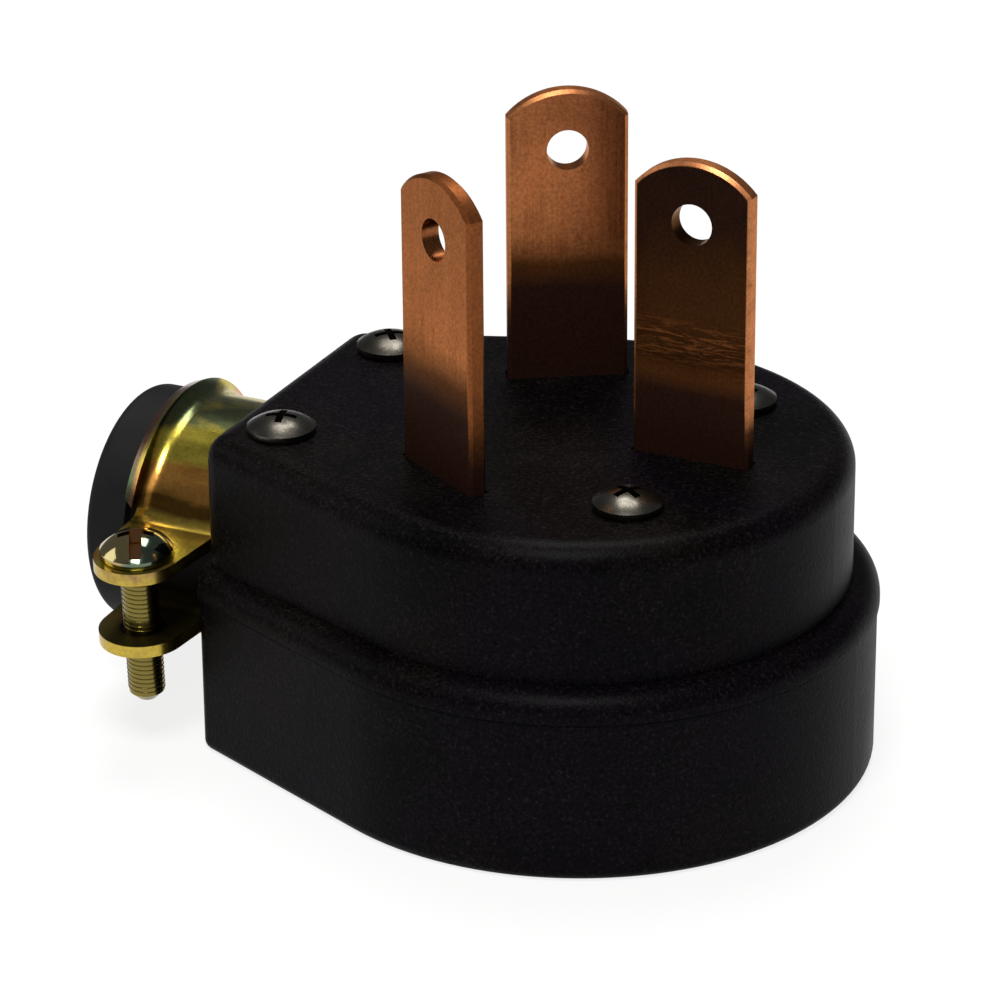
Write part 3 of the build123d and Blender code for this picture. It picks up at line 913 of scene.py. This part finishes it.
@dataclass(frozen=True)
class Studio:
    """Floor, light and camera."""

    eye: Point = (0.17133, -0.36851, 0.20992)
    heading: float = 116.03
    tilt: float = -24.29
    roll: float = -0.45
    lens: float = 163.13
    sensor: float = 36.0
    clip: Band = (0.01, 20.0)
    floor_half: float = 3.0
    floor_noise: Pattern = Pattern(6.0, 2.0)
    floor_tones: tuple[Colour, Colour] = ((0.93, 0.93, 0.93), (0.96, 0.96, 0.96))
    floor_rough: float = 0.9
    floor_sheen: float = 0.1
    whiteness: float = 0.82
    room: float = 0.13
    air: Colour = (0.96, 0.98, 1.0)
    boxes: tuple[SoftBox, ...] = (
        SoftBox("overhead", (-0.16, 0.34, 0.92), power=5.5, size=0.42, tint=(1.0, 0.98, 0.95)),
        SoftBox("high_front", (0.10, -0.42, 0.92), power=7.0, size=0.30, tint=(1.0, 0.98, 0.96)),
        SoftBox("left", (-1.00, -0.30, 0.60), power=2.0, size=0.60, tint=(0.95, 0.98, 1.0)),
        SoftBox("front", (0.55, -1.00, 0.75), power=1.2, size=0.70, tint=(1.0, 0.97, 0.94)),
    )

    def build(self) -> None:
        """Puts the floor, the lights, the world and the camera in the scene."""
        self._floor()
        for box in self.boxes:
            box.hang()
        self._world()
        self._camera()

    def _floor(self) -> None:
        """A wide floor that is near white to the eye and to metal, and keeps a soft shadow."""
        half = self.floor_half
        mesh = bpy.data.meshes.new("floor")
        mesh.from_pydata([(-half, -half, 0), (half, -half, 0), (half, half, 0), (-half, half, 0)],
                         [], [(0, 1, 2, 3)])
        floor = bpy.data.objects.new("floor", mesh)
        bpy.context.collection.objects.link(floor)
        r = Recipe("floor_paint")
        paint = r.blend(r.noise(self.floor_noise), *self.floor_tones)
        lit = r.put("BsdfPrincipled", Base_Color=paint, Roughness=self.floor_rough,
                    Specular_IOR_Level=self.floor_sheen)
        white = r.put("Emission", Color=(1.0, 1.0, 1.0, 1.0), Strength=1.0)
        seen = r.put("LightPath", out="Is Camera Ray") + r.put("LightPath", out="Is Glossy Ray")
        coat = r.put("MixShader", in_0=seen * self.whiteness, in_1=lit, in_2=white)
        mesh.materials.append(r.finish(coat))

    def _world(self) -> None:
        """An even, dim room."""
        world = bpy.data.worlds.new("room")
        bpy.context.scene.world = world
        world.use_nodes = True
        air = world.node_tree.nodes["Background"]
        air.inputs["Color"].default_value = (*self.air, 1.0)
        air.inputs["Strength"].default_value = self.room
        bpy.context.scene.view_settings.view_transform = "Standard"

    def _camera(self) -> None:
        """The photograph's viewpoint."""
        yaw, pitch, roll = (math.radians(a) for a in (self.heading, self.tilt, self.roll))
        ahead = Vector((math.cos(yaw) * math.cos(pitch), math.sin(yaw) * math.cos(pitch),
                        math.sin(pitch)))
        right = Vector((math.sin(yaw), -math.cos(yaw), 0.0))
        up = right.cross(ahead)
        across = right * math.cos(roll) + up * math.sin(roll)
        upward = up * math.cos(roll) - right * math.sin(roll)
        lens = bpy.data.cameras.new("camera")
        lens.lens, lens.sensor_width = self.lens, self.sensor
        lens.clip_start, lens.clip_end = self.clip
        camera = bpy.data.objects.new("camera", lens)
        turn = Matrix((across, upward, -ahead)).transposed().to_4x4()
        camera.matrix_world = Matrix.Translation(self.eye) @ turn
        bpy.context.collection.objects.link(camera)
        bpy.context.scene.camera = camera


@dataclass
class Finishes:
    """Every finish on the plug, by the record's slot or by the one piece that has it."""

    by_slot: dict[str, bpy.types.Material] = field(default_factory=dict)
    kinds: tuple[Any, ...] = (
        MouldedPlastic(), YellowZinc(), ScrewZinc(), BushingRubber(),
        # Painted light: the three blades are one copper, each given its own brightness, rim colour
        # and tarnish height as the lamps and reflections fall on it, lightest on blade_line_2
        BladeCopper("blade_neutral", stand=(12.16 * MM, 0.0), turn=0.0,
                    bright=(0.36, 0.12, 0.04), worn=(0.30, 0.09, 0.03), rim=(0.52, 0.20, 0.08),
                    tarnish=Mask(10.4 * MM, 6.8 * MM), aged=1.0),
        BladeCopper("blade_line_1", stand=(-7.75 * MM, -13.82 * MM), turn=-31.25,
                    bright=(0.39, 0.140, 0.051), worn=(0.27, 0.087, 0.028),
                    rim=(0.22, 0.070, 0.022), tarnish=Mask(13.6 * MM, 7.4 * MM)),
        BladeCopper("blade_line_2", stand=(-7.75 * MM, 13.82 * MM), turn=31.25,
                    bright=(0.56, 0.200, 0.072), worn=(0.38, 0.122, 0.040),
                    rim=(0.44, 0.165, 0.062), tarnish=Mask(15.0 * MM, 9.6 * MM)),
        PlainMetal("screw_steel", clean=(0.105, 0.098, 0.082), dull=(0.030, 0.028, 0.024),
                   rough=0.24),
        PlainMetal("insert_brass", clean=(0.74, 0.56, 0.27), dull=(0.48, 0.33, 0.14), rough=0.28),
        PlainMetal("terminal_steel", clean=(0.62, 0.60, 0.55), dull=(0.38, 0.36, 0.32),
                   rough=0.27),
    )

    def make(self) -> None:
        """Writes the materials."""
        for kind in self.kinds:
            self.by_slot[kind.name] = kind.make()


def lathe(outline: Sequence[tuple[float, float]], sides: int) -> bmesh.types.BMesh:
    """A turned shape.

    Args:
        outline: Radius and height of each point, from the lower pole to the upper one.
        sides: How many flats go round.

    Returns:
        The closed mesh, with its faces outwards.
    """
    turned = bmesh.new()
    rings = []
    for radius, height in outline:
        rings.append(ring_of(turned, radius, height, sides if radius > 0.0 else 1))
    for low, high in zip(rings, rings[1:]):
        for i in range(sides):
            j = (i + 1) % sides
            face = [low[i % len(low)], low[j % len(low)], high[j % len(high)],
                    high[i % len(high)]]
            turned.faces.new(list(dict.fromkeys(face)))
    bmesh.ops.recalc_face_normals(turned, faces=turned.faces)
    return turned


def ring_of(shape: bmesh.types.BMesh, radius: float, height: float, sides: int
            ) -> list[bmesh.types.BMVert]:
    """A level ring of corners.

    Args:
        shape: The mesh that they join.
        radius: How far they are from Z.
        height: Where the ring lies.
        sides: How many corners it has.

    Returns:
        The corners in their order.
    """
    angles = (math.tau * i / sides for i in range(sides))
    return [shape.verts.new((radius * math.cos(a), radius * math.sin(a), height)) for a in angles]


def new_piece(name: str, shape: bmesh.types.BMesh) -> bpy.types.Object:
    """Puts a shape in the scene, smooth across small angles.

    Args:
        name: The piece's name.
        shape: Its faces.

    Returns:
        The object.
    """
    mesh = bpy.data.meshes.new(name)
    shape.to_mesh(mesh)
    shape.free()
    mesh.shade_smooth()
    mesh.set_sharp_from_angle(angle=math.radians(SOFT_ANGLE))
    piece = bpy.data.objects.new(name, mesh)
    bpy.context.collection.objects.link(piece)
    return piece


@dataclass(frozen=True)
class Groove:
    """A tapered groove across a screw's head."""

    length: float
    width: float
    depth: float
    turn: float = 0.0
    taper: float = 0.72

    def cut(self, tool: bmesh.types.BMesh, top: float) -> None:
        """Adds the groove's cutter to a tool.

        Args:
            tool: The shape that it joins.
            top: Height of the head's top.
        """
        made = bmesh.ops.create_cube(tool, size=1.0)["verts"]
        for point in made:
            low = point.co.z < 0.0
            share = self.taper if low else 1.0
            point.co.x *= self.length * share
            point.co.y *= self.width * share
            point.co.z = top - self.depth if low else top + self.depth
        bmesh.ops.rotate(tool, verts=made, matrix=Matrix.Rotation(math.radians(self.turn), 3, "Z"))


@dataclass(frozen=True)
class DomedScrew:
    """A screw with a domed head, which points down from the seat of its head."""

    shank: float
    length: float
    head: float
    rise: float
    grooves: tuple[Groove, ...]
    rim: float = 0.75 * MM
    rim_round: float = 0.22 * MM
    rim_steps: int = 4
    tip: float = 1.0 * MM
    sides: int = 72
    steps: int = 14

    def outline(self) -> list[tuple[float, float]]:
        """The screw's half section.

        Returns:
            Radius and height of each point, from the tip to the top of the dome.
        """
        points = [(0.0, -self.length), (self.shank - self.tip, -self.length),
                  (self.shank, self.tip - self.length), (self.shank, 0.0)]
        soft = self.rim_round
        for i in range(self.rim_steps + 1):
            a = math.pi / 2.0 * i / self.rim_steps
            points.append((self.head - soft + soft * math.sin(a), soft - soft * math.cos(a)))
        high = self.rise - self.rim
        ball = (self.head * self.head + high * high) / (2.0 * high)
        spread = math.asin(self.head / ball)
        for i in range(self.steps + 1):
            a = spread * (1.0 - i / self.steps)
            points.append((ball * math.sin(a) if i < self.steps else 0.0,
                           self.rise - ball + ball * math.cos(a)))
        return points

    def build(self, name: str) -> bpy.types.Object:
        """Turns the screw and cuts its grooves.

        Args:
            name: The screw's name.

        Returns:
            The screw.
        """
        screw = new_piece(name, lathe(self.outline(), self.sides))
        cutter = bmesh.new()
        for groove in self.grooves:
            groove.cut(cutter, self.rise)
        tool = new_piece(name + "_tool", cutter)
        cut = screw.modifiers.new("recess", "BOOLEAN")
        cut.object, cut.operation, cut.solver = tool, "DIFFERENCE", "EXACT"
        cut.use_self = True
        bake(screw)
        screw.data.set_sharp_from_angle(angle=math.radians(SOFT_ANGLE))
        bpy.data.objects.remove(tool)
        return screw


@dataclass(frozen=True)
class Thread:
    """A rolled thread on a shank."""

    root: float
    crest: float
    pitch: float
    length: float
    tip: float = 1.0 * MM
    per_turn: int = 26
    ridge_sides: int = 4
    buried: float = 0.1

    def wind(self, screw: bpy.types.Object, screw_length: float, finish: bpy.types.Material) -> None:
        """Winds the ridge on a screw that points down.

        Args:
            screw: The plain screw.
            screw_length: Seat to tip.
            finish: The screw's material.
        """
        g = Growth("rolled_thread")
        depth = self.crest - self.root
        turns = g.size("Turns", self.length / self.pitch)
        height = g.size("Length", self.length)
        middle = g.size("Middle radius", self.root + self.buried * depth)
        half = g.size("Half ridge", (1.0 - self.buried) * depth)
        helix = g.put("CurveSpiral", Resolution=self.per_turn, Rotations=turns,
                      Start_Radius=middle, End_Radius=middle, Height=height)
        level = g.put("SetCurveNormal", {"mode": "Z_UP"}, Curve=helix)
        ridge = g.put("CurvePrimitiveCircle", Resolution=self.ridge_sides, Radius=half)
        wound = g.put("CurveToMesh", Curve=level, Profile_Curve=ridge, Fill_Caps=True)
        low = g.put("Transform", Geometry=wound, Translation=(0.0, 0.0, self.tip - screw_length))
        both = g.tree.nodes.new("GeometryNodeJoinGeometry")
        for part in (low, g.given):
            g.tree.links.new(part.socket, both.inputs[0])
        g.settle(screw, Wire(g.tree, both.outputs[0]), finish)


def set_out(name: str, screw: bpy.types.Object, places: Sequence[tuple[Point, Point]],
            finish: bpy.types.Material) -> bpy.types.Object:
    """Sets copies of a screw in their places, as one piece.

    Args:
        name: The piece's name.
        screw: The screw, which is removed.
        places: Seat and turn of each copy.
        finish: The material.

    Returns:
        The piece.
    """
    mesh = bpy.data.meshes.new(name)
    mesh.from_pydata([seat for seat, _ in places], [], [])
    turns = mesh.attributes.new("turn", "FLOAT_VECTOR", "POINT")
    for item, (_, turn) in zip(turns.data, places):
        item.vector = turn
    piece = bpy.data.objects.new(name, mesh)
    bpy.context.collection.objects.link(piece)
    g = Growth(name + "_places")
    source = g.put("ObjectInfo", {"transform_space": "ORIGINAL"}, out="Geometry",
                   Object=g.size("Screw", screw, "Object"))
    turn = g.put("InputNamedAttribute", {"data_type": "FLOAT_VECTOR"}, Name="turn")
    copies = g.put("InstanceOnPoints", Points=g.put("MeshToPoints", Mesh=g.given),
                   Instance=source, Rotation=turn)
    g.settle(piece, copies, finish)
    bpy.data.objects.remove(screw)
    return piece


@dataclass(frozen=True)
class FaceScrews:
    """The four screws that hold the cover on, seen as domed heads on the blade face."""

    rear: tuple[float, float] = (-26.7 * MM, 11.67 * MM)
    front: tuple[float, float] = (11.5 * MM, 13.78 * MM)
    turns: tuple[float, ...] = (15.0, 40.0, 62.0, 90.0)
    screw: DomedScrew = DomedScrew(
        shank=1.95 * MM, length=24.0 * MM, head=3.4 * MM, rise=1.9 * MM,
        grooves=(Groove(length=3.7 * MM, width=0.85 * MM, depth=1.3 * MM),
                 Groove(length=3.7 * MM, width=0.85 * MM, depth=1.3 * MM, turn=90.0)))

    def build(self, finishes: Finishes) -> None:
        """Makes the screws and lets them stand for their nodes.

        Args:
            finishes: Every finish on the plug.
        """
        spots = [(x, side * y) for x, y in (self.rear, self.front) for side in (-1.0, 1.0)]
        places = [((x, y, BLADE_FACE), (0.0, 0.0, math.radians(turn)))
                  for (x, y), turn in zip(spots, self.turns)]
        piece = set_out("face_screws", self.screw.build("face_screw"), places,
                        finishes.by_slot["screw_steel"])
        hand_over(piece, [f"housing_screw_{i + 1}" for i in range(len(places))])


@dataclass(frozen=True)
class TappedEars:
    """The burred edges that the lower ears' threads are cut in, one round each screw."""

    inside: float
    outside: float
    low: float
    high: float
    sides: int = 48

    def build(self, name: str) -> bpy.types.Object:
        """Makes one ring, with its axis on Z.

        Args:
            name: The ring's name.

        Returns:
            The ring.
        """
        ring = bmesh.new()
        loops = []
        for radius, height in ((self.inside, self.low), (self.outside, self.low),
                               (self.outside, self.high), (self.inside, self.high)):
            loops.append(ring_of(ring, radius, height, self.sides))
        for near, far in zip(loops, loops[1:] + loops[:1]):
            for i in range(self.sides):
                j = (i + 1) % self.sides
                ring.faces.new((near[i], near[j], far[j], far[i]))
        bmesh.ops.recalc_face_normals(ring, faces=ring.faces)
        return new_piece(name, ring)


@dataclass(frozen=True)
class ClampScrews:
    """The two threaded screws of the cord clamp, which leans with the clamp."""

    slot_turn: float = 118.0
    screw: DomedScrew = DomedScrew(
        shank=1.79 * MM, length=16.0 * MM, head=3.7 * MM, rise=CLAMP_HEAD_RISE,
        grooves=(Groove(length=8.0 * MM, width=1.25 * MM, depth=1.35 * MM, taper=1.0),
                 Groove(length=4.4 * MM, width=1.0 * MM, depth=1.5 * MM, turn=90.0)),
        rim=0.8 * MM, tip=0.8 * MM)
    thread: Thread = Thread(root=1.79 * MM, crest=1.88 * MM, pitch=0.50 * MM, length=14.6 * MM)
    burr: TappedEars = TappedEars(inside=1.82 * MM, outside=2.13 * MM, low=-9.33 * MM,
                                  high=-8.07 * MM)

    def build(self, finishes: Finishes) -> None:
        """Makes the screws and lets them stand for their nodes.

        Args:
            finishes: Every finish on the plug.
        """
        finish = finishes.by_slot["clamp_screw_zinc"]
        screw = self.screw.build("clamp_screw")
        self.thread.wind(screw, self.screw.length, finish)
        lean = Matrix.Rotation(math.radians(CLAMP_ROLL), 3, "X")
        turn = tuple((lean @ Matrix.Rotation(math.radians(self.slot_turn), 3, "Z")).to_euler())
        axis = Vector((SCREW_ROW, 0.0, CORD_AXIS))
        places = [(tuple(axis + lean @ Vector((0.0, side * SCREW_ASIDE, EAR_TOP))), turn)
                  for side in (-1.0, 1.0)]
        piece = set_out("clamp_screws", screw, places, finish)
        hand_over(piece, ["clamp_screw_1", "clamp_screw_2"])
        # The rings take the clamp's finish, which is painted dark there as painted shade inside the
        # screw holes
        rings = set_out("tapped_ears", self.burr.build("tapped_ear"), places,
                        finishes.by_slot["clamp_steel"])
        hand_over(rings, [])


def hand_over(piece: bpy.types.Object, nodes: Sequence[str]) -> None:
    """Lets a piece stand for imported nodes.

    Args:
        piece: The piece.
        nodes: The nodes that it hides.
    """
    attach(piece, ROOT)
    if nodes:
        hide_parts(*nodes)
    LOG.info("%s stands for %s", piece.name, ", ".join(nodes) or "itself")


@dataclass
class DressedNodes:
    """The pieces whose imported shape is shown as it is."""

    slots: dict[str, str]

    def dress(self, nodes: dict[str, bpy.types.Object], finishes: Finishes) -> None:
        """Gives each one its finish.

        Args:
            nodes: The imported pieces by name.
            finishes: Every finish on the plug.
        """
        for name, slot in self.slots.items():
            piece = nodes[name]
            piece.data.materials.clear()
            finish = finishes.by_slot.get(name) or finishes.by_slot[slot]
            piece.data.materials.append(finish)
            LOG.info("dressed %s in %s", name, finish.name)


def main() -> None:
    """Builds the plug around its frame."""
    logging.basicConfig(level=logging.INFO, format="%(message)s")
    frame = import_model()
    finishes = Finishes()
    finishes.make()
    slots = {s["node"]: s["material_slot"] for s in frame["record"]["subparts"]}
    DressedNodes(slots).dress(frame["nodes"], finishes)
    FaceScrews().build(finishes)
    ClampScrews().build(finishes)
    Studio().build()


if __name__ == "__main__":
    main()
